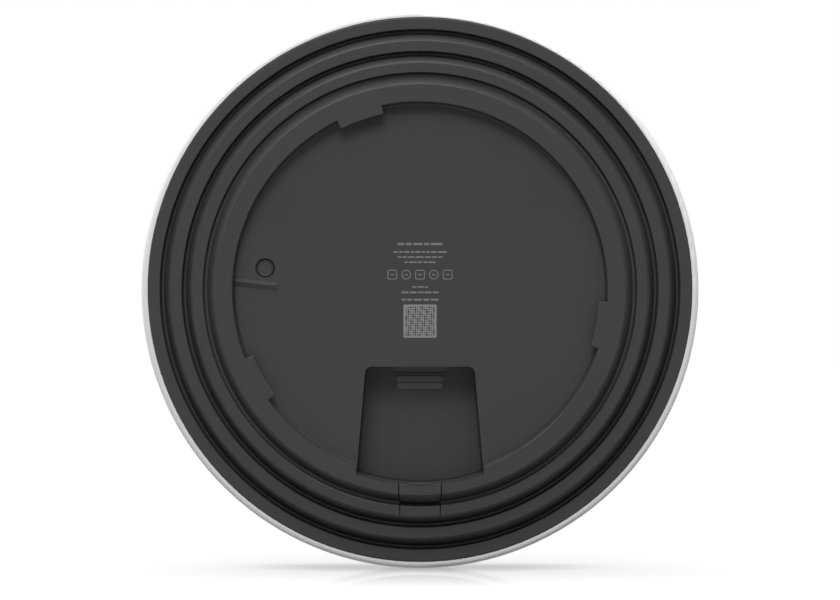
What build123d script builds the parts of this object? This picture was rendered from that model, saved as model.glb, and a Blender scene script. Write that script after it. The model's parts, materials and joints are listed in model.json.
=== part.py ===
from build123d import *
import math
import os

# A ceiling access point, standing on its edge with its rear side towards -Y.
# The disc's axis is the Y axis. Depth y = 0 is the rear mounting plane, and depth grows
# towards the domed front. The cable leaves downwards, towards -Z.
# Lengths are millimetres and angles are degrees.

# ---- driving dimensions ----
COVER_RADIUS = 107.5
OVERALL_DEPTH = 32.5

# rear housing: four terraced rings around a round recess for the mounting bracket
RECESS_DEPTH = 5.0
RECESS_RADIUS = 71.05          # at the recess floor
RING_INNER = (71.75, 83.15, 91.55, 100.3)
RING_OUTER = (78.75, 87.15, 95.8, 104.8)
RING_DEPTH = (0.0, 3.4, 7.6, 11.8)
GROOVE_FLOOR = (5.2, 10.6, 14.8)
GROOVE_WIDTH = 1.6             # from the foot of the slope to the next ring
GROOVE_FOOT = 0.5              # how far the next ring's inner wall leans out
EDGE_ROUNDING = 0.45           # outer edge of each ring
RIM_ROUNDING = 0.35            # inner edge of each ring
RIM_STEP = 1.0                 # upright drop outside each ring
RIM_LEAN = 0.1
LEDGE_WIDTH = 0.4              # narrow ledge between the drop and the slope
LEDGE_FALL = 0.1
WALL = 2.0
SLOPE_INSET = (2.0, 2.9)       # inner wall of a slope, from its top edge and from the next ring
SPIGOT_DEPTH = 19.0            # front edge of the wall that enters the cover
CREST_WALL = 2.3               # wall of the mounting ring
CREST_INSIDE = (74.2, 73.6)    # hollow under the mounting ring, at its top and at its foot

# bayonet lugs over the recess: centre and width, anticlockwise from +X seen from the rear
LUG_CENTRES = (108.95, 208.85, 348.9)
LUG_WIDTH = 14.5
LUG_INNER_RADIUS = 68.3
LUG_THICKNESS = 1.8

# cable pocket, a trapezoid that ends in an arc
POCKET_TOP_Z = -29.6
POCKET_TOP_HALF = 20.95
POCKET_FLARE = 0.0848          # half-width gained for each millimetre downwards
POCKET_RADIUS = 74.6
POCKET_DEPTH = 17.3
POCKET_DRAFT = 1.6
POCKET_WALL = 2.0
POCKET_ROUNDING = 2.3
SILL_WIDTH, SILL_HEIGHT = 22.1, 2.2
SILL_GAP = 0.35
SILL_THICKNESS = 1.2
LABEL_SIZE = (17.5, 2.1)
LABEL_Z = (-34.6, -37.25)
LABEL_THICKNESS = 0.12

# cable exit door, a snap-out piece in the lower wall of the pocket
DOOR_HALF_INNER = 7.95         # across the mounting ring
DOOR_HALF_OUTER = 7.55         # across the groove and the second ring
DOOR_GAP = 0.4
DOOR_STEP_RADIUS = 79.4        # where the door grows narrower
DOOR_DEPTH = 7.2
DOOR_CLEAR = 0.2               # gap under the door
DOOR_LIP_DEPTH = RING_DEPTH[1] + RIM_STEP - DOOR_CLEAR - 0.15
DOOR_LIP_WIDTH = 2.3
DOOR_GROOVE_FLOOR = 5.7
CHANNEL_WALL = 1.6             # casting around the door's slot
NOTCH_RADIUS = 36.0            # finger notch in the door's upper edge
NOTCH_Z = -74.95
NOTCH_DEPTH = 0.6
PULL_RADIUS = 24.0             # the bowed front of the pull below the notch
PULL_Z = -73.9

# detent rib for the bracket, on the recess floor
RIB_ROOT = (-71.6, 3.2)
RIB_ANGLE = -6.3
RIB_LENGTH = 17.9
RIB_UPPER = 1.3
RIB_LOWER = 1.9
RIB_HEIGHT = 1.3
RIB_HIP = 2.3

# reset button
BUTTON_X, BUTTON_Z = -59.35, 8.15
BUTTON_RADIUS = 3.1
BUTTON_HOLE_RADIUS = 3.25
BUTTON_CHAMFER = 1.3           # half of it lies above the recess floor and cuts nothing
BUTTON_DISH = 0.35
BUTTON_SUNK = 0.15              # below the recess floor
FLANGE_RADIUS = 4.4
STEM_RADIUS = 1.6
SLEEVE_RADIUS = 6.2
SLEEVE_FAR = 9.5

# electronics
BOARD_NEAR, BOARD_FAR = 19.5, 21.1
BOARD_RADIUS = 80.0
BOSS_PITCH = 68.0              # distance of the six board screws from the axis
BOSS_ANGLES = (12.0, 62.0, 118.0, 165.0, 212.0, 328.0)
BOSS_RADIUS = 3.6
PILOT_RADIUS = 1.25
PILOT_LENGTH = 9.0
SCREW_CLEARANCE = 1.6
REFLECTOR_NEAR, REFLECTOR_FAR = 22.4, 23.2
REFLECTOR_RADIUS = 92.0

# the light ring in the front
LIGHT_RADIUS = 29.8
GUIDE_HALF = 0.8
GUIDE_GAP = 0.1
GUIDE_FLANGE = (24.5, 35.0, 28.4, 29.9)    # inner and outer radius, near and far depth
GUIDE_NEAR = 25.2
LED_COUNT = 8
LED_BOARD_RADII = (24.0, 36.0)
LED_BOARD_THICKNESS = 1.0
LED_SCREW_PITCH = 33.6
LED_SCREW_ANGLES = (135.0, 255.0, 15.0)

# front cover
COVER_THICKNESS = 2.2
COVER_CROWN = 1.3
COVER_REAR = 12.3
COVER_GAP = 0.15
COVER_ROUNDING = 8.5
CATCH_COUNT = 8
CATCH_OFFSET = 22.5
CATCH_WIDTH = 6.0
CATCH_DEPTHS = (16.0, 17.0)
CATCH_BITE = 0.4

JACK_HALF = 8.1
JACK_NEAR, JACK_FAR = 7.3, 19.4
JACK_LENGTH = 18.0
JACK_SHEET = 0.3
LATCH_HALF = 3.2
BEZEL_WIDTH = 17.6
BEZEL_MARGIN = 1.4
MOUTH_HALF = 5.9
MOUTH_NEAR, MOUTH_FAR = 9.2, 16.2
MOUTH_LENGTH = 12.5

INNER_FLOOR = RECESS_DEPTH + WALL
FIT = 0.1                      # gap between pieces that are assembled together


# ---- helpers ----
def slab(outline, near, far):
    """Fill an outline drawn in x and z from depth near to depth far."""
    return extrude(Plane.XZ.offset(-near) * outline, amount=far - near, dir=(0, 1, 0))


def rod(radius, near, far, x=0.0, z=0.0):
    """A cylinder along the depth."""
    return slab(Pos(x, z) * Circle(radius), near, far)


def block(width, height, near, far, x=0.0, z=0.0, rounding=0.0):
    """A box, width along X and height along Z, with its upright edges rounded."""
    outline = RectangleRounded(width, height, rounding) if rounding else Rectangle(width, height)
    return slab(Pos(x, z) * outline, near, far)


def annulus(inner, outer, near, far):
    """A flat ring about the disc's axis."""
    return slab(Circle(outer) - Circle(inner), near, far)


def turned(corners):
    """Turn a closed profile about the disc's axis. Each corner is radius, depth, rounding."""
    outline = make_face(Polyline(*[(radius, depth) for radius, depth, _ in corners], close=True))
    for radius, depth, rounding in corners:
        if rounding:
            corner = outline.vertices().sort_by_distance((radius, depth))[0]
            outline = fillet(corner, rounding)
    return revolve(outline, axis=Axis.Y)


def on_circle(radius, angle):
    """The x and z of a point, its angle anticlockwise from +X seen from the rear."""
    return radius * math.cos(math.radians(angle)), radius * math.sin(math.radians(angle))


def spin(shape, angle):
    """Turn a shape about the disc's axis, anticlockwise seen from the rear."""
    return Rot(0, -angle, 0) * shape


def sector(inner, outer, centre, width, near, far):
    """A piece of flat ring between two angles."""
    half = math.radians(width / 2)
    reach = outer * 1.3
    wedge = make_face(Polyline(
        (0, 0), (reach, -reach * math.tan(half)), (reach, reach * math.tan(half)), close=True))
    return spin(slab((Circle(outer) - Circle(inner)) & wedge, near, far), centre)


def group(pieces):
    """Separate solids that share one node."""
    solids = [solid for piece in pieces for solid in piece.solids()]
    return Compound(children=solids)


def screw(x, z, under_head, length, shank, head, head_height):
    """A pan-head screw with a cross recess, its head towards the front."""
    body = rod(shank, under_head - length, under_head, x, z)
    cap = rod(head, under_head, under_head + head_height, x, z)
    cap = fillet(cap.edges().sort_by(Axis.Y)[-1], head_height * 0.45)
    cross = block(head * 1.1, head * 0.3, under_head + head_height * 0.45, under_head + head_height, x, z)
    cross += block(head * 0.3, head * 1.1, under_head + head_height * 0.45, under_head + head_height, x, z)
    return body + cap - cross


# ---- rear housing ----
def terrace_corners():
    """The rear side of the housing, from the axis outwards."""
    corners = [(0, RECESS_DEPTH, 0), (RECESS_RADIUS, RECESS_DEPTH, 0.3)]
    corners.append((RING_INNER[0], RING_DEPTH[0], 0.4))
    for k, floor in enumerate(GROOVE_FLOOR):
        edge, depth = RING_OUTER[k], RING_DEPTH[k]
        wall = RING_INNER[k + 1]
        corners += [
            (edge, depth, EDGE_ROUNDING),
            (edge + RIM_LEAN, depth + RIM_STEP, 0),
            (edge + RIM_LEAN + LEDGE_WIDTH, depth + RIM_STEP + LEDGE_FALL, 0),
            (wall - GROOVE_WIDTH, floor, 0.4),
            (wall - GROOVE_FOOT, floor, 0.25),
            (wall, RING_DEPTH[k + 1], RIM_ROUNDING),
        ]
    corners.append((RING_OUTER[3], RING_DEPTH[3], EDGE_ROUNDING))
    return corners


def inside_corners():
    """The front side of the housing, from the rim inwards, one wall thickness away."""
    level = GROOVE_FLOOR[2] + WALL
    corners = [
        (RING_OUTER[3], SPIGOT_DEPTH, 0.4),
        (RING_OUTER[3] - WALL, SPIGOT_DEPTH, 0.4),
        (RING_OUTER[3] - WALL, level, 1.0),
    ]
    for k in (2, 1, 0):
        level = GROOVE_FLOOR[k - 1] + WALL if k else CREST_WALL
        corners.append((RING_INNER[k + 1] - SLOPE_INSET[1], GROOVE_FLOOR[k] + WALL, 0.8))
        corners.append((RING_OUTER[k] - SLOPE_INSET[0], level, 0.8))
    return corners + [
        (CREST_INSIDE[0], CREST_WALL, 0.6),
        (CREST_INSIDE[1], INNER_FLOOR, 0.6),
        (0, INNER_FLOOR, 0),
    ]


def pocket_outline(grow, radius):
    """The pocket's outline, grown sideways and upwards, and ended by an arc."""
    top = POCKET_TOP_Z + grow
    bottom = -radius - 6
    half_top = POCKET_TOP_HALF + grow
    half_bottom = half_top + POCKET_FLARE * (top - bottom)
    sides = make_face(Polyline(
        (-half_top, top), (half_top, top), (half_bottom, bottom), (-half_bottom, bottom), close=True))
    outline = sides & Circle(radius)
    upper = outline.vertices().sort_by(Axis.Y)[-2:]
    outline = fillet(upper, POCKET_ROUNDING + max(grow, 0))
    corners = [v for v in outline.vertices() if abs(v.Y) > radius * 0.8]
    return fillet(corners, 0.6)


def pocket_space():
    """The air in the cable pocket, a little narrower at its floor."""
    inset = (POCKET_DEPTH - RECESS_DEPTH) * math.tan(math.radians(POCKET_DRAFT))
    floor = pocket_outline(-inset, POCKET_RADIUS - inset)
    height = POCKET_DEPTH + 1
    return extrude(Plane.XZ.offset(-POCKET_DEPTH) * floor, amount=height, taper=-POCKET_DRAFT)


def door_slot():
    """The gap in the rings that the cable exit door fills."""
    half_in = DOOR_HALF_INNER + DOOR_GAP
    half_out = DOOR_HALF_OUTER + DOOR_GAP
    floor = DOOR_DEPTH + DOOR_CLEAR
    lip_start = RING_OUTER[1] - DOOR_LIP_WIDTH + DOOR_CLEAR
    inner = block(2 * half_in, 12, -1, floor, 0, -DOOR_STEP_RADIUS + 6)
    outer = block(2 * half_out, 12, -1, floor, 0, -lip_start + 6)
    mouth = block(2 * half_out, 12, -1, DOOR_LIP_DEPTH + DOOR_CLEAR, 0, -RING_OUTER[1] - 1 + 6)
    return inner + outer + mouth


def door_channel():
    """The casting around the slot, kept inside the second ring's outer wall."""
    near, far = GROOVE_FLOOR[0] + 0.4, DOOR_DEPTH + DOOR_CLEAR + CHANNEL_WALL
    half = DOOR_HALF_INNER + DOOR_GAP + CHANNEL_WALL
    strip = annulus(POCKET_RADIUS - 1, RING_OUTER[1] - 0.3, near, far)
    return strip & block(2 * half, 20, near, far, 0, -DOOR_STEP_RADIUS)


def detent_rib():
    """A pitched rib with a hipped inner end."""
    low, high = RECESS_DEPTH + 0.4, RECESS_DEPTH - RIB_HEIGHT
    spread = (RIB_HEIGHT + 0.4) / RIB_HEIGHT
    upper, lower = RIB_UPPER * spread, -RIB_LOWER * spread
    end = RIB_LENGTH - RIB_HIP + RIB_HIP * spread
    a, b, c, d = (0, low, upper), (end, low, upper), (end, low, lower), (0, low, lower)
    e, f = (0, high, 0), (RIB_LENGTH - RIB_HIP, high, 0)
    faces = [Face(Wire.make_polygon(loop)) for loop in (
        (a, b, c, d), (a, e, f, b), (d, c, f, e), (a, d, e), (b, f, c))]
    rib = Solid(Shell(faces))
    return Pos(RIB_ROOT[0], 0, RIB_ROOT[1]) * Rot(0, -RIB_ANGLE, 0) * rib


def lug(centre):
    """A bayonet lug, flush with the mounting ring, with softened inner corners."""
    plate = sector(LUG_INNER_RADIUS, RING_INNER[0] + 1, 0, LUG_WIDTH, 0, LUG_THICKNESS)
    corners = plate.edges().filter_by(Axis.Y).sort_by(Axis.X)[:2]
    plate = fillet(corners, 0.6)
    plate = fillet(plate.edges().group_by(Axis.Y)[0], EDGE_ROUNDING - 0.1)
    return spin(plate, centre)


def pedestal(width, height, far, x, z):
    """A cast block that reaches from the recess plate to a chip's thermal pad."""
    tower = block(width, height, INNER_FLOOR - 0.5, far, x, z, 1.5)
    return fillet(tower.edges().group_by(Axis.Y)[-1], 0.4)


CHIP_SITES = {
    "processor": (0.0, 24.0, 19.0),
    "ethernet": (0.0, 54.0, 13.0),
    "radio_2g": (-38.0, 38.0, 11.0),
    "radio_5g": (38.0, 38.0, 12.0),
    "radio_6g": (40.0, -4.0, 12.0),
}
CHIP_THICKNESS = 1.6
PAD_THICKNESS = 1.0
LID_THICKNESS = 0.3
SHIELD_NEAR = BOARD_NEAR - 3.0
PEDESTAL_FAR = SHIELD_NEAR - PAD_THICKNESS


def rear_housing():
    housing = turned(terrace_corners() + inside_corners())
    pocket_walls = slab(pocket_outline(POCKET_WALL, POCKET_RADIUS + POCKET_WALL),
                        RECESS_DEPTH + 0.5, POCKET_DEPTH + SILL_THICKNESS + 0.5)
    sleeve = rod(SLEEVE_RADIUS, INNER_FLOOR - 0.5, SLEEVE_FAR, BUTTON_X, BUTTON_Z)
    housing += pocket_walls + door_channel() + sleeve
    for x, z, size in CHIP_SITES.values():
        housing += pedestal(size, size, PEDESTAL_FAR, x, z)
    for angle in BOSS_ANGLES:
        x, z = on_circle(BOSS_PITCH, angle)
        housing += rod(BOSS_RADIUS, INNER_FLOOR - 0.5, BOARD_NEAR, x, z)
    for centre in LUG_CENTRES:
        housing += lug(centre)
    housing += detent_rib()
    housing -= pocket_space() + door_slot()
    for angle in BOSS_ANGLES:
        x, z = on_circle(BOSS_PITCH, angle)
        housing -= rod(PILOT_RADIUS, BOARD_NEAR - PILOT_LENGTH, BOARD_NEAR + 1, x, z)
    for angle in catch_angles():
        housing -= spin(catch(0.2), angle)
    housing -= button_hole() + jack_window() + sill_notch()
    return housing


def button_hole():
    """A hole with a chamfered rim, wider below the plate for the button's flange."""
    hole = rod(BUTTON_HOLE_RADIUS, RECESS_DEPTH - 1, INNER_FLOOR + 1, BUTTON_X, BUTTON_Z)
    rim = Pos(BUTTON_X, RECESS_DEPTH, BUTTON_Z) * Rot(90, 0, 0) * Cone(
        BUTTON_HOLE_RADIUS, BUTTON_HOLE_RADIUS + BUTTON_CHAMFER, BUTTON_CHAMFER)
    return hole + rim + rod(FLANGE_RADIUS + 0.5, INNER_FLOOR, SLEEVE_FAR + 0.5, BUTTON_X, BUTTON_Z)


def jack_window():
    """The opening in the pocket's upper wall for the jack's bezel."""
    margin = BEZEL_MARGIN + FIT
    return block(BEZEL_WIDTH + 2 * FIT, 8, MOUTH_NEAR - margin, MOUTH_FAR + margin, 0, POCKET_TOP_Z)


def sill_notch():
    """The notch in the pocket's floor for the sill of the jack's bezel."""
    return sill(SILL_GAP, POCKET_DEPTH - 0.5, POCKET_DEPTH + SILL_THICKNESS + FIT)


def sill(grow, near, far):
    """A bar with rounded lower corners along the top of the pocket's floor."""
    height = 2 * (SILL_HEIGHT + grow)
    bar = block(SILL_WIDTH + 2 * grow, height, near, far, 0, POCKET_TOP_Z, SILL_HEIGHT - 0.3 + grow)
    return bar & block(2 * SILL_WIDTH, height, near, far, 0, POCKET_TOP_Z - height / 2)


# ---- cable exit door ----
def cable_exit_door():
    """A strip that continues the first two rings across the slot. Its groove is a plain V."""
    ledge = RING_OUTER[0] + RIM_LEAN + LEDGE_WIDTH
    lip_start = RING_OUTER[1] - DOOR_LIP_WIDTH
    strip = turned([
        (POCKET_RADIUS, 0, 0.3),
        (RING_OUTER[0], 0, EDGE_ROUNDING),
        (RING_OUTER[0] + RIM_LEAN, RIM_STEP, 0),
        (ledge, RIM_STEP + LEDGE_FALL, 0),
        (RING_INNER[1] - 0.6, DOOR_GROOVE_FLOOR, 0.2),
        (RING_INNER[1], RING_DEPTH[1], RIM_ROUNDING),
        (RING_OUTER[1], RING_DEPTH[1], EDGE_ROUNDING),
        (RING_OUTER[1], DOOR_LIP_DEPTH, 0),
        (lip_start, DOOR_LIP_DEPTH, 0),
        (lip_start, DOOR_DEPTH, 0),
        (POCKET_RADIUS, DOOR_DEPTH, 0),
    ])
    inner = block(2 * DOOR_HALF_INNER, 9.4, -1, DOOR_DEPTH + 1, 0, -DOOR_STEP_RADIUS + 4.7)
    outer = block(2 * DOOR_HALF_OUTER, 12, -1, DOOR_DEPTH + 1, 0, -DOOR_STEP_RADIUS - 5)
    notch = rod(NOTCH_RADIUS, -1, NOTCH_DEPTH, 0, NOTCH_Z + NOTCH_RADIUS)
    pull = rod(PULL_RADIUS, NOTCH_DEPTH, DOOR_DEPTH - 0.6, 0, PULL_Z - PULL_RADIUS)
    pull = fillet(pull.edges().sort_by(Axis.Y)[0], 0.2)
    pull &= block(2 * DOOR_HALF_INNER, 6, 0, DOOR_DEPTH, 0, PULL_Z - 2)
    return (strip & (inner + outer)) - notch + pull


# ---- front cover and its light ----
def catch(grow):
    """A small bar on the inside of the cover's skirt that clicks into the housing's wall."""
    return sector(RING_OUTER[3] - CATCH_BITE - grow, RING_OUTER[3] + 0.6, 0, CATCH_WIDTH + grow,
                  CATCH_DEPTHS[0] - grow, CATCH_DEPTHS[1] + grow)


def catch_angles():
    return [CATCH_OFFSET + k * 360 / CATCH_COUNT for k in range(CATCH_COUNT)]


def crown(radius):
    """The depth of the cover's domed front at a radius."""
    return OVERALL_DEPTH - COVER_CROWN * (radius / COVER_RADIUS) ** 2


def front_cover():
    """A shallow dish with a hole for the light ring and a shelf that stops the housing."""
    hole = LIGHT_RADIUS + GUIDE_HALF + GUIDE_GAP
    skirt = RING_OUTER[3] + COVER_GAP
    edge = crown(COVER_RADIUS)
    mid = (COVER_RADIUS + hole) / 2
    shelf = SPIGOT_DEPTH + FIT
    outline = make_face([
        Polyline((hole, crown(hole) - COVER_THICKNESS), (hole, crown(hole))),
        ThreePointArc((hole, crown(hole)), (mid, crown(mid)), (COVER_RADIUS, edge)),
        Polyline((COVER_RADIUS, edge), (COVER_RADIUS, COVER_REAR), (skirt, COVER_REAR), (skirt, shelf),
                 (skirt - WALL, shelf), (skirt - WALL, shelf + 1.5),
                 (skirt, shelf + 1.5), (skirt, edge - COVER_THICKNESS)),
        ThreePointArc((skirt, edge - COVER_THICKNESS), (mid, crown(mid) - COVER_THICKNESS),
                      (hole, crown(hole) - COVER_THICKNESS)),
    ])
    for radius, depth, rounding in (
            (COVER_RADIUS, edge, COVER_ROUNDING), (skirt, edge - COVER_THICKNESS, COVER_ROUNDING - 2.5),
            (COVER_RADIUS, COVER_REAR, 2.0), (skirt, COVER_REAR, 0.2), (hole, crown(hole), 0.15)):
        corner = outline.vertices().sort_by_distance((radius, depth))[0]
        outline = fillet(corner, rounding)
    cover = revolve(outline, axis=Axis.Y)
    for angle in catch_angles():
        cover += spin(catch(0.0), angle)
    return cover


def centre_cap():
    radius = LIGHT_RADIUS - GUIDE_HALF - GUIDE_GAP
    return turned([(0, crown(0) - COVER_THICKNESS, 0), (radius, crown(radius) - COVER_THICKNESS, 0.3),
                   (radius, crown(radius), 0.2), (0, OVERALL_DEPTH, 0)])


def light_guide():
    """A tube that carries light to the front, with a flange behind the cover and the cap."""
    inner, outer = LIGHT_RADIUS - GUIDE_HALF, LIGHT_RADIUS + GUIDE_HALF
    flange_in, flange_out, flange_near, flange_far = GUIDE_FLANGE
    front = crown(LIGHT_RADIUS)
    return turned([
        (inner, front, 0.15), (outer, front, 0.15), (outer, flange_far, 0), (flange_out, flange_far, 0.3),
        (flange_out, flange_near, 0.3), (outer, flange_near, 0.3), (outer, GUIDE_NEAR, 0.2),
        (inner, GUIDE_NEAR, 0.2), (inner, flange_near, 0.3), (flange_in, flange_near, 0.3),
        (flange_in, flange_far, 0.3), (inner, flange_far, 0)])


LED_BOARD_FAR = REFLECTOR_FAR + LED_BOARD_THICKNESS
CONNECTOR_Z = 40.5


def led_board():
    """A ring with an ear for the connector."""
    plate = annulus(*LED_BOARD_RADII, REFLECTOR_FAR, LED_BOARD_FAR)
    plate += block(14, 10, REFLECTOR_FAR, LED_BOARD_FAR, 0, CONNECTOR_Z - 1.5, 1.0)
    for angle in LED_SCREW_ANGLES:
        plate -= rod(1.1, REFLECTOR_FAR - 1, LED_BOARD_FAR + 1, *on_circle(LED_SCREW_PITCH, angle))
    return plate


def status_leds():
    package = block(2.8, 3.5, LED_BOARD_FAR, LED_BOARD_FAR + 0.7, LIGHT_RADIUS, 0, 0.2)
    package = chamfer(package.edges().group_by(Axis.Y)[-1], 0.12)
    return group([spin(package, k * 360 / LED_COUNT) for k in range(LED_COUNT)])


def led_connector():
    body = block(9, 4, LED_BOARD_FAR, LED_BOARD_FAR + 2.4, 0, CONNECTOR_Z, 0.3)
    return body - block(7.4, 2.4, LED_BOARD_FAR + 0.7, LED_BOARD_FAR + 3, 0, CONNECTOR_Z)


def led_screws():
    return group([screw(*on_circle(LED_SCREW_PITCH, angle), LED_BOARD_FAR, 1.9, 0.95, 1.8, 1.0)
                  for angle in LED_SCREW_ANGLES])


# ---- boards and shields ----
def board_outline():
    """A disc with a notch that clears the cable pocket."""
    notch = pocket_outline(POCKET_WALL + 1.0, BOARD_RADIUS + 9)
    return Circle(BOARD_RADIUS) - (Pos(0, -12) * notch)


def main_board():
    board = slab(board_outline(), BOARD_NEAR, BOARD_FAR)
    for angle in BOSS_ANGLES:
        x, z = on_circle(BOSS_PITCH, angle)
        board -= rod(SCREW_CLEARANCE, BOARD_NEAR - 1, BOARD_FAR + 1, x, z)
    return board


def board_spacers():
    rings = []
    for angle in BOSS_ANGLES:
        x, z = on_circle(BOSS_PITCH, angle)
        hole = rod(SCREW_CLEARANCE, BOARD_FAR - 1, REFLECTOR_NEAR + 1, x, z)
        rings.append(rod(3.0, BOARD_FAR, REFLECTOR_NEAR, x, z) - hole)
    return group(rings)


def board_screws():
    length = REFLECTOR_FAR - BOARD_NEAR + 7.0
    return group([screw(*on_circle(BOSS_PITCH, angle), REFLECTOR_FAR, length, PILOT_RADIUS, 2.8, 1.9)
                  for angle in BOSS_ANGLES])


def chip(name):
    x, z, size = CHIP_SITES[name]
    body = block(size, size, BOARD_NEAR - CHIP_THICKNESS, BOARD_NEAR, x, z, 0.3)
    return chamfer(body.edges().group_by(Axis.Y)[0], 0.15)


def shield_frame(name):
    """A bent sheet fence around a chip, soldered to the board."""
    x, z, size = CHIP_SITES[name]
    wide = size + 7
    fence = block(wide, wide, SHIELD_NEAR + LID_THICKNESS, BOARD_NEAR, x, z, 1.2)
    fence -= block(wide - 0.6, wide - 0.6, SHIELD_NEAR, BOARD_NEAR + 1, x, z, 0.9)
    return fence


def shield_lid(name):
    """A stamped lid on the fence, open over the chip so that its pad touches the casting."""
    x, z, size = CHIP_SITES[name]
    wide = size + 7.4
    lid = block(wide, wide, SHIELD_NEAR, SHIELD_NEAR + LID_THICKNESS, x, z, 1.4)
    return lid - block(size + 1.2, size + 1.2, SHIELD_NEAR - 1, SHIELD_NEAR + 1, x, z, 0.6)


def thermal_pad(name):
    """A soft pad from the chip, through the lid, to the cast pedestal."""
    x, z, size = CHIP_SITES[name]
    return block(size - 1, size - 1, PEDESTAL_FAR, BOARD_NEAR - CHIP_THICKNESS, x, z, 0.8)


RADIO_NAMES = ("radio_2g", "radio_5g", "radio_6g")


def memory_chips():
    return group([block(9, 13, BOARD_NEAR - 1.0, BOARD_NEAR, x, 24, 0.2) for x in (-21, 21)])


def lan_magnetics():
    body = block(17, 12, 13.2, BOARD_NEAR, 0, -1.5, 0.5)
    return chamfer(body.edges().group_by(Axis.Y)[0], 0.5)


def poe_transformer():
    core = block(15, 15, 9.6, BOARD_NEAR, -32, -10, 1.0)
    window = block(17, 8, 11.4, 17.0, -32, -10)
    bobbin = block(14, 7.6, 11.6, 16.8, -32, -10, 1.5)
    return core - window, bobbin


def power_inductors():
    coils = []
    for x, z in ((-40, 12), (-27, 12), (30, -22), (44, -24)):
        body = block(8, 8, 14.5, BOARD_NEAR, x, z, 1.2)
        coils.append(chamfer(body.edges().group_by(Axis.Y)[0], 0.4))
    return group(coils)


def bulk_capacitors():
    cans = []
    for x, z in ((-45, -22), (-54, -16), (-52, -28)):
        can = rod(3.9, 9.5, BOARD_NEAR - 1.2, x, z)
        can = fillet(can.edges().sort_by(Axis.Y)[0], 0.4)
        cans.append(can + block(8.4, 8.4, BOARD_NEAR - 1.2, BOARD_NEAR, x, z, 0.6))
    return group(cans)


# ---- antennas ----
def antenna_reflector():
    plate = rod(REFLECTOR_RADIUS, REFLECTOR_NEAR, REFLECTOR_FAR)
    for angle in BOSS_ANGLES:
        x, z = on_circle(BOSS_PITCH, angle)
        plate -= rod(SCREW_CLEARANCE, REFLECTOR_NEAR - 1, REFLECTOR_FAR + 1, x, z)
    for angle in LED_SCREW_ANGLES:
        plate -= rod(0.95, REFLECTOR_NEAR - 1, REFLECTOR_FAR + 1, *on_circle(LED_SCREW_PITCH, angle))
    return plate


def antenna_element(width, height, radius, angle, level):
    """A stamped patch on two bent legs that stand on the reflector."""
    patch = block(height, width, level, level + 0.4, radius, 0, 1.0)
    patch -= block(height * 0.5, 1.2, level - 1, level + 1, radius + height * 0.25, width * 0.2)
    leg = block(0.4, 3.0, REFLECTOR_FAR, level, radius - height / 2 + 0.4, 0)
    tab = block(0.4, 2.0, REFLECTOR_FAR, level, radius - height / 2 + 0.4, width * 0.3)
    return spin(patch + leg + tab, angle)


ANTENNA_SETS = {
    "antenna_2g_elements": (26.0, 17.0, 55.0, (45, 135, 225, 315), 27.6),
    "antenna_5g_elements": (18.0, 12.0, 78.0, (0, 90, 180, 270), 26.8),
    "antenna_6g_elements": (14.0, 10.0, 80.0, (30, 150, 195, 345), 26.4),
}


def antenna_elements(name):
    width, height, radius, angles, level = ANTENNA_SETS[name]
    return group([antenna_element(width, height, radius, angle, level) for angle in angles])


def antenna_supports():
    """Moulded posts that hold the outer end of each patch."""
    posts = []
    for width, height, radius, angles, level in ANTENNA_SETS.values():
        for angle in angles:
            post = block(3.0, width * 0.5, REFLECTOR_FAR, level, radius + height / 2 - 3.0, -width * 0.2, 0.6)
            posts.append(spin(post, angle))
    return group(posts)


# ---- network jack ----
def jack_base():
    return POCKET_TOP_Z + POCKET_WALL + FIT


def jack_body(half, near, far, low, high):
    return block(2 * half, high - low, near, far, 0, (low + high) / 2)


def jack_shell():
    """The stamped shield around the jack, open at the mouth and at the board."""
    low, high = jack_base(), jack_base() + JACK_LENGTH
    outer = jack_body(JACK_HALF, JACK_NEAR, JACK_FAR, low, high)
    half, near = JACK_HALF - JACK_SHEET, JACK_NEAR + JACK_SHEET
    inner = jack_body(half, near, JACK_FAR + 1, low - 1, high - JACK_SHEET)
    return outer - inner


def jack_insert():
    """The moulded body with the socket for the plug, its latch slot towards the rear."""
    inset = JACK_SHEET + 0.05
    low, high = jack_base(), jack_base() + JACK_LENGTH - inset
    body = jack_body(JACK_HALF - inset, JACK_NEAR + inset, JACK_FAR, low, high)
    return body - jack_mouth(low)


def jack_mouth(low):
    mouth = jack_body(MOUTH_HALF, MOUTH_NEAR + 0.4, MOUTH_FAR, low - 1, low + MOUTH_LENGTH)
    slot = jack_body(LATCH_HALF, MOUTH_NEAR - 0.8, MOUTH_NEAR + 1, low - 1, low + MOUTH_LENGTH - 3)
    return mouth + slot


def jack_contacts():
    """Eight sprung wires that lean out of the wall opposite the latch."""
    wires = []
    low = jack_base()
    for k in range(8):
        x = (k - 3.5) * 1.02
        path = Polyline((x, MOUTH_FAR + 0.001, low + 3.0), (x, MOUTH_FAR - 1.6, low + 11.6),
                        (x, MOUTH_FAR - 0.2, low + 12.3))
        section = Plane(path @ 0, z_dir=path % 0) * Circle(0.2)
        wires.append(sweep(section, path=path, transition=Transition.ROUND))
    return group(wires)


def jack_bezel():
    """A moulded frame in the pocket's wall, with a sill at the pocket's floor."""
    low, high = POCKET_TOP_Z - 0.6, jack_base() - 0.05
    near, far = MOUTH_NEAR - BEZEL_MARGIN, MOUTH_FAR + BEZEL_MARGIN
    frame = block(BEZEL_WIDTH, high - low, near, far, 0, (low + high) / 2)
    frame += sill(0.0, POCKET_DEPTH, POCKET_DEPTH + SILL_THICKNESS)
    window = jack_body(MOUTH_HALF + 0.2, MOUTH_NEAR + 0.3, MOUTH_FAR + 0.1, low - 1, high + 1)
    window += jack_body(LATCH_HALF + 0.1, MOUTH_NEAR - 0.9, MOUTH_NEAR + 1, low - 1, high + 1)
    return frame - window


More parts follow.
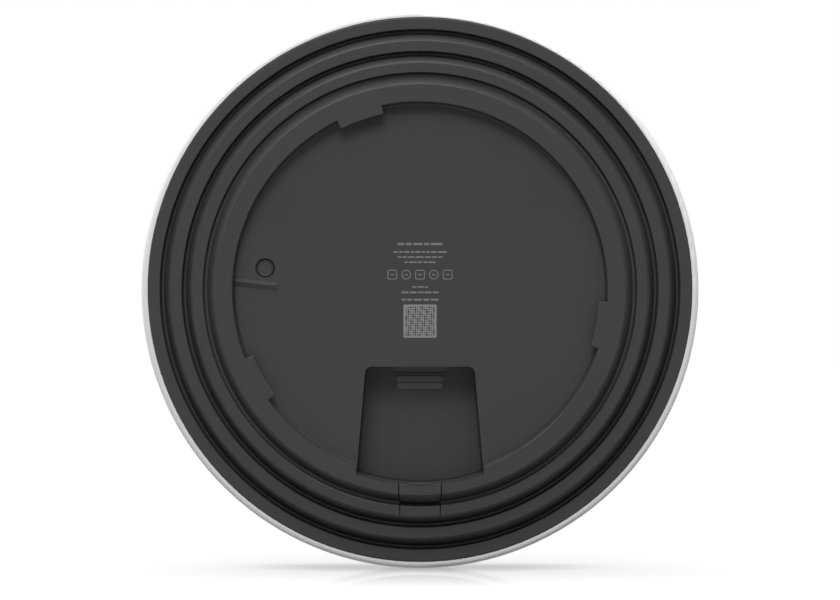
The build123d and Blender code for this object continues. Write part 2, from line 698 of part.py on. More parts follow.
def port_labels():
    """Two thin blank strips on the pocket's floor."""
    return group([block(*LABEL_SIZE, POCKET_DEPTH - LABEL_THICKNESS, POCKET_DEPTH, 0, z, 0.5)
                  for z in LABEL_Z])


# ---- reset button ----
def reset_button():
    """A dished button with a flange under the plate and a stem that reaches the switch."""
    face = RECESS_DEPTH + BUTTON_SUNK
    flange_near, flange_far = INNER_FLOOR + 0.35, INNER_FLOOR + 1.2
    corners = [
        (0, face + BUTTON_DISH, 0), (BUTTON_RADIUS - 0.6, face + BUTTON_DISH, 0.1),
        (BUTTON_RADIUS - 0.2, face, 0), (BUTTON_RADIUS, face, 0), (BUTTON_RADIUS, flange_near, 0),
        (FLANGE_RADIUS, flange_near, 0.1), (FLANGE_RADIUS, flange_far, 0.1), (STEM_RADIUS, flange_far, 0.2),
        (STEM_RADIUS, SWITCH_STEM_NEAR, 0.2), (0, SWITCH_STEM_NEAR, 0)]
    return Pos(BUTTON_X, 0, BUTTON_Z) * turned(corners)


SWITCH_NEAR = BOARD_NEAR - 3.5
SWITCH_STEM_NEAR = SWITCH_NEAR - 1.5


def switch_plunger():
    return rod(1.7, SWITCH_STEM_NEAR, SWITCH_NEAR + 1.5, BUTTON_X, BUTTON_Z)


def reset_switch():
    body = block(6.2, 6.2, SWITCH_NEAR, BOARD_NEAR, BUTTON_X, BUTTON_Z, 0.4)
    return body - rod(1.75, SWITCH_NEAR - 1, SWITCH_NEAR + 2.4, BUTTON_X, BUTTON_Z)


# ---- the assembly ----
def build():
    core, bobbin = poe_transformer()
    nodes = {
        "rear_housing": rear_housing(),
        "cable_exit_door": cable_exit_door(),
        "front_cover": front_cover(),
        "centre_cap": centre_cap(),
        "light_guide": light_guide(),
        "led_board": led_board(),
        "led_connector": led_connector(),
        "led_screws": led_screws(),
        "status_leds": status_leds(),
        "main_board": main_board(),
        "board_spacers": board_spacers(),
        "board_screws": board_screws(),
        "processor_chip": chip("processor"),
        "processor_shield_frame": shield_frame("processor"),
        "processor_shield_lid": shield_lid("processor"),
        "processor_pad": thermal_pad("processor"),
        "ethernet_chip": chip("ethernet"),
        "ethernet_pad": thermal_pad("ethernet"),
        "radio_chips": group([chip(name) for name in RADIO_NAMES]),
        "radio_shield_frames": group([shield_frame(name) for name in RADIO_NAMES]),
        "radio_shield_lids": group([shield_lid(name) for name in RADIO_NAMES]),
        "radio_pads": group([thermal_pad(name) for name in RADIO_NAMES]),
        "memory_chips": memory_chips(),
        "lan_magnetics": lan_magnetics(),
        "poe_transformer_core": core,
        "poe_transformer_winding": bobbin,
        "power_inductors": power_inductors(),
        "bulk_capacitors": bulk_capacitors(),
        "antenna_reflector": antenna_reflector(),
        "antenna_supports": antenna_supports(),
        "jack_shell": jack_shell(),
        "jack_insert": jack_insert(),
        "jack_contacts": jack_contacts(),
        "jack_bezel": jack_bezel(),
        "port_labels": port_labels(),
        "reset_button": reset_button(),
        "switch_plunger": switch_plunger(),
        "reset_switch": reset_switch(),
    }
    for name in ANTENNA_SETS:
        nodes[name] = antenna_elements(name)
    return nodes


def main():
    os.makedirs("parts", exist_ok=True)
    for name, shape in build().items():
        export_step(shape, f"parts/{name}.step")
        print(name, "volume", round(shape.volume, 1))


main()
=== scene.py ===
import json
import math
import random

import bmesh
import bpy
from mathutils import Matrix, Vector


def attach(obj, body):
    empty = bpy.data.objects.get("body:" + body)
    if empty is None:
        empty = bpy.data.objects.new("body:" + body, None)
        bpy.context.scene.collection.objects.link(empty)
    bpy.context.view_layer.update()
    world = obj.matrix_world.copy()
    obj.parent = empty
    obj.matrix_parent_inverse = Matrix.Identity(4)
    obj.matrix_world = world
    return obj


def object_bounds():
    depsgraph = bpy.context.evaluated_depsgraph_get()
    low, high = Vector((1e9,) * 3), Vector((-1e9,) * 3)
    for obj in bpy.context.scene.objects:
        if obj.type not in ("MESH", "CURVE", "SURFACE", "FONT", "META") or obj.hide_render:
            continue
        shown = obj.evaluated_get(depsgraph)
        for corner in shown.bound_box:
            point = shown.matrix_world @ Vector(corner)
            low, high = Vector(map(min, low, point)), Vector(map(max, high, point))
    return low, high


# The looks of a ceiling access point that stands on its edge, its rear side towards -Y.
# The disc's axis is the Y axis, and depth grows from the rear mounting plane towards the front.

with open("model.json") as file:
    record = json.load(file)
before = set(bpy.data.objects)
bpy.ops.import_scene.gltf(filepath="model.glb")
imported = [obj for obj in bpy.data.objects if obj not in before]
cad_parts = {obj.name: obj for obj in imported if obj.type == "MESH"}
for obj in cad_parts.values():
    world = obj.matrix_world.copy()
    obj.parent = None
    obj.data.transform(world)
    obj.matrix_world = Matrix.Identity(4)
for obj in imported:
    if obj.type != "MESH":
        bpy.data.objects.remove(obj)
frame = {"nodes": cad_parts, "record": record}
CAD_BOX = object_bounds()
NODES = frame["nodes"]

MM = 0.001
DISC_RADIUS = CAD_BOX[1].x
FLOOR_Z = CAD_BOX[0].z


# ---- shader building blocks ----
class Shader:
    """A material with one Principled shader, and short calls for its pattern nodes.
    Patterns use object coordinates, in metres, so they hold still on a moving part."""

    def __init__(self, name, color, roughness, **sockets):
        self.material = bpy.data.materials.new(name)
        self.material.use_nodes = True
        self.tree = self.material.node_tree
        self.principled = self.tree.nodes["Principled BSDF"]
        self.set("Base Color", (*color, 1.0))
        self.set("Roughness", roughness)
        for socket, value in sockets.items():
            self.set(socket.replace("_", " "), value)
        self.coordinates = self.node("ShaderNodeTexCoord").outputs["Object"]

    def set(self, socket, value):
        self.principled.inputs[socket].default_value = value

    def node(self, kind, **settings):
        node = self.tree.nodes.new(kind)
        for name, value in settings.items():
            setattr(node, name, value)
        return node

    def link(self, output, target):
        self.tree.links.new(output, target)

    def stretched(self, scale):
        """Object coordinates multiplied along each axis."""
        mapping = self.node("ShaderNodeMapping")
        mapping.inputs["Scale"].default_value = scale
        self.link(self.coordinates, mapping.inputs["Vector"])
        return mapping.outputs["Vector"]

    def noise(self, cells_per_metre, detail=2.0, coordinates=None):
        noise = self.node("ShaderNodeTexNoise")
        noise.inputs["Scale"].default_value = cells_per_metre
        noise.inputs["Detail"].default_value = detail
        self.link(coordinates or self.coordinates, noise.inputs["Vector"])
        return noise.outputs["Fac"]

    def voronoi(self, cells_per_metre):
        cells = self.node("ShaderNodeTexVoronoi")
        cells.inputs["Scale"].default_value = cells_per_metre
        self.link(self.coordinates, cells.inputs["Vector"])
        return cells.outputs["Distance"]

    def spread(self, fac, low, high, from_low=0.3, from_high=0.7):
        """A pattern's middle range stretched to the values from low to high."""
        spread = self.node("ShaderNodeMapRange")
        spread.inputs["From Min"].default_value = from_low
        spread.inputs["From Max"].default_value = from_high
        spread.inputs["To Min"].default_value = low
        spread.inputs["To Max"].default_value = high
        self.link(fac, spread.inputs["Value"])
        return spread.outputs["Result"]

    def colors(self, fac, stops):
        """A colour ramp. Each stop is a position and a colour."""
        ramp = self.node("ShaderNodeValToRGB")
        elements = ramp.color_ramp.elements
        while len(elements) < len(stops):
            elements.new(0.5)
        for element, (position, color) in zip(elements, stops):
            element.position = position
            element.color = (*color, 1.0)
        self.link(fac, ramp.inputs["Fac"])
        return ramp.outputs["Color"]

    def mix(self, fac, first, second, blend="MIX"):
        """Two colours, mixed by a pattern or by a number."""
        mix = self.node("ShaderNodeMix", data_type="RGBA", blend_type=blend)
        for value, socket in ((fac, mix.inputs[0]), (first, mix.inputs[6]), (second, mix.inputs[7])):
            if hasattr(value, "is_linked"):
                self.link(value, socket)
            else:
                socket.default_value = value if isinstance(value, float) else (*value, 1.0)
        return mix.outputs[2]

    def painted_shade_in_hollows(self, reach, shade):
        """White in the open, falling to a grey painted shade where nearby walls shelter the surface."""
        shelter = self.node("ShaderNodeAmbientOcclusion", samples=8)
        shelter.inputs["Distance"].default_value = reach
        return self.colors(shelter.outputs["AO"], ((SHELTERED, (shade,) * 3), (OPEN, (1.0,) * 3)))

    def to(self, socket, output):
        self.link(output, self.principled.inputs[socket])

    def bump(self, height, depth, strength=1.0):
        """Relief of a depth in metres, added to any bump that is already there."""
        bump = self.node("ShaderNodeBump")
        bump.inputs["Strength"].default_value = strength
        bump.inputs["Distance"].default_value = depth
        self.link(height, bump.inputs["Height"])
        normal = self.principled.inputs["Normal"]
        if normal.is_linked:
            self.link(normal.links[0].from_socket, bump.inputs["Normal"])
        self.link(bump.outputs["Normal"], normal)


def tint(color, amount):
    return tuple(min(channel * amount, 1.0) for channel in color)


# ---- materials ----
HOUSING_GREY = (0.0416, 0.0429, 0.0436)
COVER_WHITE = (0.86, 0.86, 0.855)
CREVICE_REACH = 1.3 * MM       # how far a wall casts painted shade on the coat beside it
# grey that the painted crevice shade falls to
CREVICE_SHADE = 0.1
SHELTERED, OPEN = 0.5, 0.8     # free share of the view where the painted shade on a coat is darkest, and where it fades out


def textured_paint(name, color, roughness, grain=1500.0, grain_depth=0.012 * MM):
    """A matte coat: fine grain, faint cloudy colour, a slightly uneven sheen, and painted shade in
    crevices.
    """
    paint = Shader(name, color, roughness, Specular_IOR_Level=0.3)
    clouds = paint.noise(22.0, 3.0)
    speckle = paint.noise(grain * 1.6, 2.0)
    base = paint.colors(clouds, ((0.25, tint(color, 0.955)), (0.75, tint(color, 1.045))))
    fine = paint.colors(speckle, ((0.3, (0.93,) * 3), (0.7, (1.07,) * 3)))
    # painted shade: the coat's colour is darkened where walls stand close beside it
    painted_crevice_shade = paint.painted_shade_in_hollows(CREVICE_REACH, CREVICE_SHADE)
    coat = paint.mix(1.0, base, fine, "MULTIPLY")
    paint.to("Base Color", paint.mix(1.0, coat, painted_crevice_shade, "MULTIPLY"))
    paint.to("Roughness", paint.spread(paint.noise(60.0, 3.0), roughness - 0.04, roughness + 0.04))
    paint.bump(paint.noise(grain, 2.0), grain_depth, 0.6)
    paint.bump(paint.noise(9.0, 1.0), 0.05 * MM, 0.25)
    return paint.material


def moulded_white():
    """The cover's satin plastic, with the finest of moulded textures."""
    plastic = Shader("moulded_white", COVER_WHITE, 0.46, Specular_IOR_Level=0.45)
    clouds = plastic.noise(14.0, 2.0)
    plastic.to("Base Color", plastic.colors(
        clouds, ((0.25, tint(COVER_WHITE, 0.985)), (0.75, tint(COVER_WHITE, 1.01)))))
    plastic.to("Roughness", plastic.spread(plastic.noise(90.0, 3.0), 0.42, 0.50))
    plastic.bump(plastic.noise(2600.0, 2.0), 0.006 * MM, 0.6)
    return plastic.material


def frosted_guide():
    color = (0.70, 0.75, 0.80)
    guide = Shader("frosted_guide", color, 0.3, Specular_IOR_Level=0.5)
    guide.set("Subsurface Weight", 0.35)
    guide.set("Subsurface Radius", (1.0, 1.0, 1.0))
    guide.set("Subsurface Scale", 0.8 * MM)
    guide.to("Base Color", guide.colors(
        guide.noise(160.0, 3.0), ((0.3, tint(color, 0.96)), (0.7, tint(color, 1.04)))))
    guide.bump(guide.noise(1800.0, 1.0), 0.008 * MM, 0.5)
    return guide.material


def circuit_board():
    """Solder mask over copper: the traces run as fine square-cornered lines, with vias between them."""
    mask, copper = (0.012, 0.060, 0.028), (0.024, 0.105, 0.048)
    board = Shader("circuit_board", mask, 0.32, Coat_Weight=0.25, Coat_Roughness=0.2)
    bricks = board.node("ShaderNodeTexBrick", offset=0.37, squash=1.0)
    for socket, value in (("Scale", 90.0), ("Mortar Size", 0.028), ("Mortar Smooth", 0.2),
                          ("Brick Width", 0.9), ("Row Height", 0.11)):
        bricks.inputs[socket].default_value = value
    flat = board.node("ShaderNodeMapping")
    flat.inputs["Rotation"].default_value = (math.radians(90), 0, 0)
    board.link(board.coordinates, flat.inputs["Vector"])
    board.link(flat.outputs["Vector"], bricks.inputs["Vector"])
    vias = board.spread(board.voronoi(320.0), 1.0, 0.0, 0.08, 0.14)
    traced = board.mix(bricks.outputs["Fac"], mask, copper)
    board.to("Base Color", board.mix(vias, traced, (0.42, 0.34, 0.16)))
    board.to("Roughness", board.spread(board.noise(200.0, 2.0), 0.26, 0.38))
    board.bump(bricks.outputs["Fac"], 0.03 * MM, 0.7)
    return board.material


def chip_black():
    """Moulded epoxy with a faint mottled grain."""
    color = (0.018, 0.018, 0.020)
    chip = Shader("chip_black", color, 0.58, Specular_IOR_Level=0.4)
    chip.to("Base Color", chip.colors(
        chip.noise(900.0, 3.0), ((0.3, tint(color, 0.8)), (0.7, tint(color, 1.35)))))
    chip.to("Roughness", chip.spread(chip.noise(300.0, 2.0), 0.5, 0.66))
    chip.bump(chip.noise(2400.0, 2.0), 0.01 * MM, 0.6)
    return chip.material


def sheet_metal(name, color, roughness, brush=(12.0, 12.0, 1.0), pitch=220.0):
    """Rolled sheet: fine lines along one way, and patches of duller metal."""
    metal = Shader(name, color, roughness, Metallic=1.0)
    lines = metal.noise(pitch, 2.0, metal.stretched(brush))
    patches = metal.noise(35.0, 3.0)
    metal.to("Base Color", metal.mix(
        metal.spread(patches, 0.0, 0.5), tint(color, 1.04), tint(color, 0.88)))
    metal.to("Roughness", metal.spread(lines, roughness - 0.07, roughness + 0.1))
    metal.bump(lines, 0.008 * MM, 0.5)
    return metal.material


def soft_pad():
    color = (0.30, 0.38, 0.48)
    pad = Shader("thermal_pad", color, 0.8, Specular_IOR_Level=0.25)
    pad.to("Base Color", pad.colors(
        pad.noise(500.0, 4.0), ((0.3, tint(color, 0.85)), (0.7, tint(color, 1.12)))))
    pad.bump(pad.noise(1200.0, 3.0), 0.03 * MM, 0.7)
    return pad.material


def plain_plastic(name, color, roughness, grain=1400.0):
    """Moulded engineering plastic: a slight mottling and a fine spark-eroded grain."""
    plastic = Shader(name, color, roughness, Specular_IOR_Level=0.45)
    plastic.to("Base Color", plastic.colors(
        plastic.noise(120.0, 3.0), ((0.3, tint(color, 0.93)), (0.7, tint(color, 1.08)))))
    plastic.to("Roughness", plastic.spread(plastic.noise(260.0, 2.0), roughness - 0.05, roughness + 0.06))
    plastic.bump(plastic.noise(grain, 2.0), 0.01 * MM, 0.55)
    return plastic.material


def ferrite():
    color = (0.045, 0.045, 0.05)
    core = Shader("ferrite", color, 0.62, Specular_IOR_Level=0.5)
    core.to("Base Color", core.colors(
        core.voronoi(1500.0), ((0.1, tint(color, 1.5)), (0.6, tint(color, 0.8)))))
    core.bump(core.noise(1800.0, 4.0), 0.02 * MM, 0.7)
    return core.material


def winding_tape():
    """Yellow polyester tape, its layers showing as narrow bands."""
    color = (0.62, 0.42, 0.05)
    tape = Shader("winding_tape", color, 0.28, Specular_IOR_Level=0.5, Coat_Weight=0.3)
    bands = tape.noise(900.0, 1.0, tape.stretched((0.02, 1.0, 0.02)))
    tape.to("Base Color", tape.colors(bands, ((0.35, tint(color, 0.8)), (0.65, tint(color, 1.15)))))
    tape.bump(bands, 0.02 * MM, 0.6)
    return tape.material


def printed_ink(name, color):
    """Pad-printed ink, a little thin in places."""
    ink = Shader(name, color, 0.55, Specular_IOR_Level=0.35)
    ink.to("Base Color", ink.colors(
        ink.noise(1500.0, 3.0), ((0.25, tint(color, 0.88)), (0.75, tint(color, 1.08)))))
    ink.to("Roughness", ink.spread(ink.noise(700.0, 2.0), 0.48, 0.62))
    ink.bump(ink.noise(3000.0, 2.0), 0.004 * MM, 0.5)
    return ink.material


STEEL = (0.58, 0.58, 0.60)
MATERIALS = {
    "housing_grey": textured_paint("housing_grey", HOUSING_GREY, 0.46),
    "button_grey": textured_paint("button_grey", tint(HOUSING_GREY, 0.99), 0.60, 1900.0),
    "cover_white": moulded_white(),
    "light_guide": frosted_guide(),
    "circuit_board": circuit_board(),
    "black_plastic": plain_plastic("black_plastic", (0.014, 0.014, 0.015), 0.45),
    "screw_steel": sheet_metal("screw_steel", STEEL, 0.3, (1.0, 9.0, 1.0), 400.0),
    "led_lens": plain_plastic("led_lens", (0.78, 0.72, 0.42), 0.22, 2500.0),
    "brass": sheet_metal("brass", (0.72, 0.55, 0.25), 0.3),
    "chip_black": chip_black(),
    "tinplate": sheet_metal("tinplate", (0.62, 0.62, 0.61), 0.32),
    "thermal_pad": soft_pad(),
    "ferrite": ferrite(),
    "winding_tape": winding_tape(),
    "capacitor_can": sheet_metal("capacitor_can", (0.74, 0.75, 0.77), 0.25, (1.0, 10.0, 1.0), 500.0),
    "bare_aluminium": sheet_metal("bare_aluminium", (0.70, 0.71, 0.72), 0.36),
    "natural_plastic": plain_plastic("natural_plastic", (0.66, 0.64, 0.58), 0.5),
    "jack_steel": sheet_metal("jack_steel", STEEL, 0.3),
    "gold_contacts": sheet_metal("gold_contacts", (0.80, 0.60, 0.26), 0.2, (1.0, 1.0, 8.0), 900.0),
    "bezel_grey": plain_plastic("bezel_grey", (0.030, 0.032, 0.031), 0.5),
    "label_grey": printed_ink("label_grey", (0.165, 0.17, 0.169)),
}

SLOT_OF = {part["node"]: part["material_slot"] for part in frame["record"]["subparts"]}
for node_name, node_object in NODES.items():
    for material_slot in node_object.material_slots:
        material_slot.material = MATERIALS[SLOT_OF[node_name]]


# ---- printed marks ----
LOOK_FROM = -0.1               # along Y, well behind the object


def depth_of(node, x, z):
    """How deep the rear side of a node lies at a point, found by looking at it from behind."""
    hit, place, _, _ = NODES[node].ray_cast(Vector((x, LOOK_FROM, z)), Vector((0, 1, 0)))
    if not hit:
        raise ValueError(f"{node} has no surface at {x}, {z}")
    return place.y


def rounded_outline(width, height, radius, steps=5):
    """Corner points of a rounded rectangle round the origin, anticlockwise."""
    radius = min(radius, width / 2, height / 2)
    points = []
    for corner in range(4):
        across = 1 if corner in (0, 3) else -1
        up = 1 if corner < 2 else -1
        centre_x, centre_z = across * (width / 2 - radius), up * (height / 2 - radius)
        for step in range(steps + 1):
            angle = math.radians(90 * (corner + step / steps))
            points.append((centre_x + radius * math.cos(angle), centre_z + radius * math.sin(angle)))
    return points


def add_prism(mesh, outline, near, far, x=0.0, z=0.0, hole=None):
    """A thin closed solid of a printed shape. With a hole, it is a frame of the same corners."""
    def loop(points, depth):
        return [mesh.verts.new((x + px, depth, z + pz)) for px, pz in points]

    def wall(first, second):
        count = len(first)
        for k in range(count):
            mesh.faces.new((first[k], first[(k + 1) % count], second[(k + 1) % count], second[k]))

    front, back = loop(outline, near), loop(outline, far)
    wall(front, back)
    if hole is None:
        mesh.faces.new(list(reversed(front)))
        mesh.faces.new(back)
        return
    inner_front, inner_back = loop(hole, near), loop(hole, far)
    wall(inner_back, inner_front)
    wall(inner_front, front)
    wall(back, inner_back)


def finish_piece(mesh, name, material, body):
    """Turn a built mesh into a piece of one material that rides on a body."""
    bmesh.ops.recalc_face_normals(mesh, faces=mesh.faces)
    data = bpy.data.meshes.new(name)
    mesh.to_mesh(data)
    mesh.free()
    data.materials.append(material)
    piece = bpy.data.objects.new(name, data)
    bpy.context.scene.collection.objects.link(piece)
    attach(piece, body)


PRINT_THICKNESS = 0.03 * MM
PRINT_DIP = 0.01 * MM
MARK_SEED = 7


def word_bars(random_source, half_width, height):
    """Bars of uneven length, side by side, that fill a line as words would."""
    gap = 0.42 * height
    bars, x = [], -half_width
    while x < half_width - height:
        length = min(random_source.uniform(1.3, 3.4) * height, half_width - x)
        if half_width - (x + length) < 1.3 * height + gap:
            length = half_width - x
        bars.append((x + length / 2, length))
        x += length + gap
    return bars


# Each line of the printed block: middle height, half width, letter height.
PRINT_LINES = (
    (17.4, 8.6, 1.35), (14.35, 10.3, 0.95), (12.4, 8.6, 0.95), (10.45, 6.0, 0.95),
    (0.95, 3.1, 0.85), (-1.15, 7.1, 1.05), (-3.95, 7.1, 1.15),
)
BAR_HEIGHT = 0.62              # of the letter height
BAR_ROUNDING = 0.2
SYMBOL_COUNT = 5
SYMBOL_Z = 5.65
SYMBOL_PITCH = 5.3
SYMBOL_SIZE = 3.7
SYMBOL_LINE = 0.32
SYMBOL_CORNER = 0.7
SYMBOL_BAR = (1.554, 0.4)      # the short bar inside each symbol
TILE_Z = -12.15
TILE_SIZE = 12.7
TILE_CORNER = 0.5
TILE_CELLS = 13
TILE_GRID = 0.9                # share of the tile's width that the dots take up
DOT_MEAN, DOT_SWING = 0.62, 0.3    # of the dots' pitch
DOT_ROUNDING = 0.35


def printed_text():
    """Blank bars in place of the printed lines, with a row of plain shapes between them."""
    floor = depth_of("rear_housing", 0, SYMBOL_Z * MM)
    near, far = floor - PRINT_THICKNESS, floor + PRINT_DIP
    source = random.Random(MARK_SEED)
    mesh = bmesh.new()
    for z, half_width, height in PRINT_LINES:
        for x, length in word_bars(source, half_width * MM, height * MM):
            bar = rounded_outline(length, BAR_HEIGHT * height * MM, BAR_ROUNDING * height * MM)
            add_prism(mesh, bar, near, far, x, z * MM)
    size, line = SYMBOL_SIZE * MM, SYMBOL_LINE * MM
    bar_width, bar_height = SYMBOL_BAR[0] * MM, SYMBOL_BAR[1] * MM
    for k in range(SYMBOL_COUNT):
        x = (k - SYMBOL_COUNT // 2) * SYMBOL_PITCH * MM
        corner = size / 2 if k % 2 else SYMBOL_CORNER * MM
        add_prism(mesh, rounded_outline(size, size, corner), near, far, x, SYMBOL_Z * MM,
                  hole=rounded_outline(size - 2 * line, size - 2 * line, corner - line))
        add_prism(mesh, rounded_outline(bar_width, bar_height, bar_height / 2), near, far, x, SYMBOL_Z * MM)
    finish_piece(mesh, "printed_bars", MATERIALS["print_grey"], "housing")


def printed_tile():
    """A pale square tile, with a regular grid of dots on it whose sizes rise and fall in waves."""
    floor = depth_of("rear_housing", 0, TILE_Z * MM)
    size = TILE_SIZE * MM
    mesh = bmesh.new()
    outline = rounded_outline(size, size, TILE_CORNER * MM)
    add_prism(mesh, outline, floor - PRINT_THICKNESS, floor + PRINT_DIP, 0, TILE_Z * MM)
    finish_piece(mesh, "printed_tile", MATERIALS["tile_grey"], "housing")
    pitch = size * TILE_GRID / TILE_CELLS
    mesh = bmesh.new()
    for row in range(TILE_CELLS):
        for column in range(TILE_CELLS):
            wave = math.sin(column * 1.9 + 0.6 * row) * math.cos(row * 1.3 - 0.4 * column)
            dot = pitch * (DOT_MEAN + DOT_SWING * wave)
            x, z = (column - TILE_CELLS // 2) * pitch, (row - TILE_CELLS // 2) * pitch + TILE_Z * MM
            add_prism(mesh, rounded_outline(dot, dot, dot * DOT_ROUNDING, 3),
                      floor - 2 * PRINT_THICKNESS, floor - PRINT_THICKNESS + PRINT_DIP, x, z)
    finish_piece(mesh, "printed_dots", MATERIALS["housing_grey"], "housing")


MATERIALS["print_grey"] = printed_ink("print_grey", (0.215, 0.215, 0.214))
MATERIALS["tile_grey"] = printed_ink("tile_grey", (0.27, 0.275, 0.273))
printed_text()
printed_tile()


# ---- floor, light and camera ----
FLOOR_HALF = 4.0
FLOOR_ALBEDO = 0.2
FLOOR_GLOW = 0.8               # near the object
FLOOR_GLOW_FAR = 1.2
GLOW_RISE = (0.4 * DISC_RADIUS, 2.1 * DISC_RADIUS)    # distances where the glow starts and stops rising
FLOOR_SHEEN = 0.38             # share of the mirror image under the object and beyond it
FLOOR_SHEEN_FAR = 0.04         # and in front of it
SHEEN_RISE = (-0.13, 0.0)      # between these places along Y
SHEEN_ROUGHNESS = 0.03
CONTACT_REACH = 28.0 * MM      # how close above the floor the object casts a painted contact shadow on it
# how much glow the painted contact shadow leaves at its darkest
CONTACT_SHADE = 0.6
CONTACT_RANGE = (0.35, 0.95)   # free share of the view where the painted contact shadow is darkest, and where it fades out
FRONT_FOOT = 0.4               # the surround's level on the object's rear side: below,
FRONT_LOW = 0.1                # level with it,
FRONT_TOP = 2.4                # and overhead
OVERHEAD = (0.2, 1.0)          # heights of a direction's end on the unit sphere where FRONT_TOP sets in
BELOW = (-1.0, -0.2)           # and where FRONT_FOOT fades out
SIDE_DIM = 0.2                 # how much of that is left far out to the sides
SIDE_RANGE = (0.2, 0.9)        # between these distances to the side
RIM_BAND = 2.0                 # level of the band beside the object and just beyond it
BACKDROP = 0.8                 # level beyond the band
BAND_START = (-0.05, 0.1)      # along Y, where the rear side's light gives way to the band
BAND_END = (0.3, 0.55)         # and the band to the backdrop
BACKDROP_LOW = 0.36            # share of both that is left below
BACKDROP_RISE = (-0.35, 0.25)  # between these heights
LEFT_BIAS = 0.3                # how much more comes from the left
KEY_PLACE = (-0.19, -1.03, 1.08)
KEY_TARGET = (0.0, 0.0, 0.0)
KEY_SIZE = 0.7
KEY_POWER = 11.5
WIDEST_DEPTH = 14.4 * MM       # where the white cover first reaches its full radius
CAMERA_DISTANCE = 1360 * MM    # from that plane
FRAME_WIDTH = DISC_RADIUS * 2 * 1.508
CAMERA_DROP = -4.06 * MM
SENSOR_WIDTH = 36.0


def map_range(tree, output, from_min, from_max, to_min, to_max, interpolation="LINEAR"):
    """One range of a value carried to another, and held at its ends."""
    ramp = tree.nodes.new("ShaderNodeMapRange")
    ramp.interpolation_type = interpolation
    for socket, value in (("From Min", from_min), ("From Max", from_max),
                          ("To Min", to_min), ("To Max", to_max)):
        ramp.inputs[socket].default_value = value
    tree.links.new(output, ramp.inputs["Value"])
    return ramp.outputs["Result"]


def combined(tree, operation, first, second):
    level = tree.nodes.new("ShaderNodeMath")
    level.operation = operation
    tree.links.new(first, level.inputs[0])
    tree.links.new(second, level.inputs[1])
    return level.outputs[0]


def floor_plane():
    """A pale floor with a faint reflection that fades towards the viewer. It glows, so that it stays as
    white as the backdrop, but less where the object stands close above it, which is a painted contact
    shadow. It throws no light on the object's underside."""
    mesh = bmesh.new()
    mesh.faces.new([mesh.verts.new((x * FLOOR_HALF, y * FLOOR_HALF, FLOOR_Z))
                    for x, y in ((-1, -1), (1, -1), (1, 1), (-1, 1))])
    data = bpy.data.meshes.new("studio_floor")
    mesh.to_mesh(data)
    mesh.free()
    floor = bpy.data.objects.new("studio_floor", data)
    bpy.context.scene.collection.objects.link(floor)

    material = bpy.data.materials.new("studio_floor")
    material.use_nodes = True
    tree = material.node_tree
    place = tree.nodes.new("ShaderNodeTexCoord").outputs["Object"]
    parts = tree.nodes.new("ShaderNodeSeparateXYZ")
    tree.links.new(place, parts.inputs[0])
    distance = tree.nodes.new("ShaderNodeVectorMath")
    distance.operation = "LENGTH"
    tree.links.new(place, distance.inputs[0])

    def ramp(output, *ends):
        return map_range(tree, output, *ends, interpolation="SMOOTHSTEP")

    matte = tree.nodes["Principled BSDF"]
    matte.inputs["Base Color"].default_value = (FLOOR_ALBEDO, FLOOR_ALBEDO, FLOOR_ALBEDO, 1.0)
    matte.inputs["Roughness"].default_value = 1.0
    matte.inputs["Specular IOR Level"].default_value = 0.0
    matte.inputs["Emission Color"].default_value = (1.0, 1.0, 1.0, 1.0)
    glow = ramp(distance.outputs["Value"], *GLOW_RISE, FLOOR_GLOW, FLOOR_GLOW_FAR)
    # painted contact shadow: the floor's glow is dimmed where the object stands close above it
    painted_shadow_probe = tree.nodes.new("ShaderNodeAmbientOcclusion")
    painted_shadow_probe.samples = 16
    painted_shadow_probe.inputs["Distance"].default_value = CONTACT_REACH
    painted_contact_shadow = ramp(painted_shadow_probe.outputs["AO"], *CONTACT_RANGE, CONTACT_SHADE, 1.0)
    tree.links.new(combined(tree, "MULTIPLY", glow, painted_contact_shadow), matte.inputs["Emission Strength"])
    sheen = tree.nodes.new("ShaderNodeBsdfGlossy")
    sheen.inputs["Roughness"].default_value = SHEEN_ROUGHNESS
    both = tree.nodes.new("ShaderNodeMixShader")
    mirrored = ramp(parts.outputs["Y"], *SHEEN_RISE, FLOOR_SHEEN_FAR, FLOOR_SHEEN)
    tree.links.new(mirrored, both.inputs["Fac"])
    tree.links.new(matte.outputs[0], both.inputs[1])
    tree.links.new(sheen.outputs[0], both.inputs[2])
    tree.links.new(both.outputs[0], tree.nodes["Material Output"].inputs["Surface"])
    data.materials.append(material)
    floor.visible_diffuse = False
    return floor


def area_light(name, place, target, size, power):
    data = bpy.data.lights.new(name, "AREA")
    data.shape = "DISK"
    data.size = size
    data.energy = power
    lamp = bpy.data.objects.new(name, data)
    lamp.location = place
    lamp.rotation_euler = (Vector(target) - Vector(place)).to_track_quat("-Z", "Y").to_euler()
    bpy.context.scene.collection.objects.link(lamp)
    return lamp


def spare(lamp, item):
    """Keep a lamp's light and shadows off one item."""
    spared = bpy.data.collections.new("spared_by_" + lamp.name)
    spared.objects.link(item)
    lamp.light_linking.receiver_collection = spared
    spared.collection_objects[0].light_linking.link_state = "EXCLUDE"


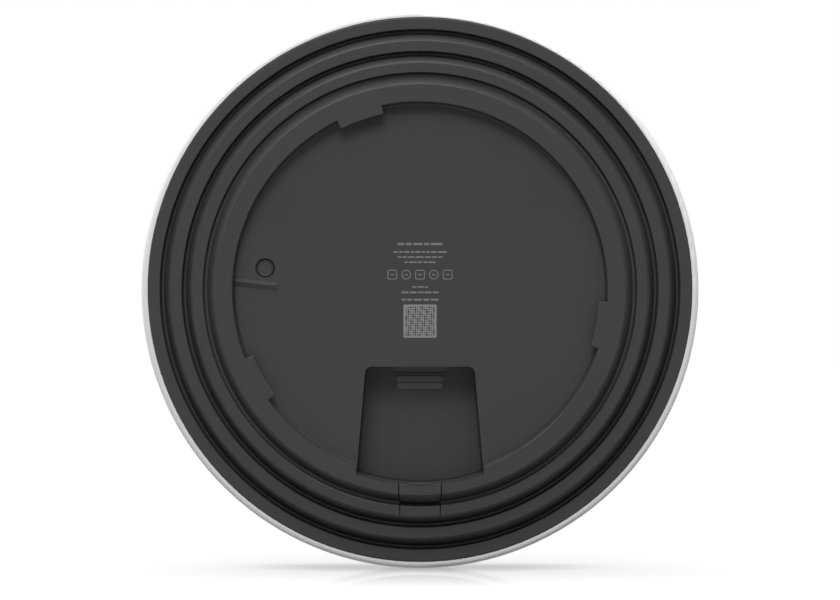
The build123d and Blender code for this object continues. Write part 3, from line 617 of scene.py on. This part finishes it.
def studio_world():
    """A surround that is bright overhead and in a band beside and just beyond the object, dimmer elsewhere,
    and plain white to the eye."""
    world = bpy.data.worlds.new("studio")
    bpy.context.scene.world = world
    world.use_nodes = True
    tree = world.node_tree
    back = tree.nodes["Background"]
    direction = tree.nodes.new("ShaderNodeTexCoord")
    parts = tree.nodes.new("ShaderNodeSeparateXYZ")
    tree.links.new(direction.outputs["Generated"], parts.inputs[0])

    def ramp(axis, *ends):
        return map_range(tree, parts.outputs[axis], *ends)

    def product(first, second):
        return combined(tree, "MULTIPLY", first, second)

    inner, outer = SIDE_RANGE
    upright = combined(tree, "MAXIMUM", ramp("Z", *OVERHEAD, FRONT_LOW, FRONT_TOP),
                       ramp("Z", *BELOW, FRONT_FOOT, 0.0))
    narrowed = product(ramp("X", -outer, -inner, SIDE_DIM, 1.0), ramp("X", inner, outer, 1.0, SIDE_DIM))
    sides = ramp("X", -1.0, 1.0, 1.0 + LEFT_BIAS, 1.0 - LEFT_BIAS)
    height = ramp("Z", *BACKDROP_RISE, BACKDROP_LOW, 1.0)
    backdrop = product(height, ramp("Y", *BAND_END, RIM_BAND, BACKDROP))
    blend = tree.nodes.new("ShaderNodeMix")
    tree.links.new(ramp("Y", *BAND_START, 0.0, 1.0), blend.inputs["Factor"])
    tree.links.new(product(upright, narrowed), blend.inputs["A"])
    tree.links.new(product(backdrop, sides), blend.inputs["B"])
    seen = tree.nodes.new("ShaderNodeLightPath").outputs["Is Camera Ray"]
    tree.links.new(combined(tree, "MAXIMUM", blend.outputs["Result"], seen), back.inputs["Strength"])
    back.inputs["Color"].default_value = (1.0, 1.0, 1.0, 1.0)


def photo_camera():
    """A long lens on the disc's axis, a little below its centre."""
    data = bpy.data.cameras.new("camera")
    data.sensor_width = SENSOR_WIDTH
    data.lens = SENSOR_WIDTH * CAMERA_DISTANCE / FRAME_WIDTH
    camera = bpy.data.objects.new("camera", data)
    camera.location = (0.0, WIDEST_DEPTH - CAMERA_DISTANCE, CAMERA_DROP)
    camera.rotation_euler = (math.radians(90), 0.0, 0.0)
    bpy.context.scene.collection.objects.link(camera)
    bpy.context.scene.camera = camera


studio_floor = floor_plane()
studio_world()
photo_camera()
key = area_light("key_light", KEY_PLACE, KEY_TARGET, KEY_SIZE, KEY_POWER)
spare(key, studio_floor)

scene = bpy.context.scene
scene.view_settings.view_transform = "Standard"
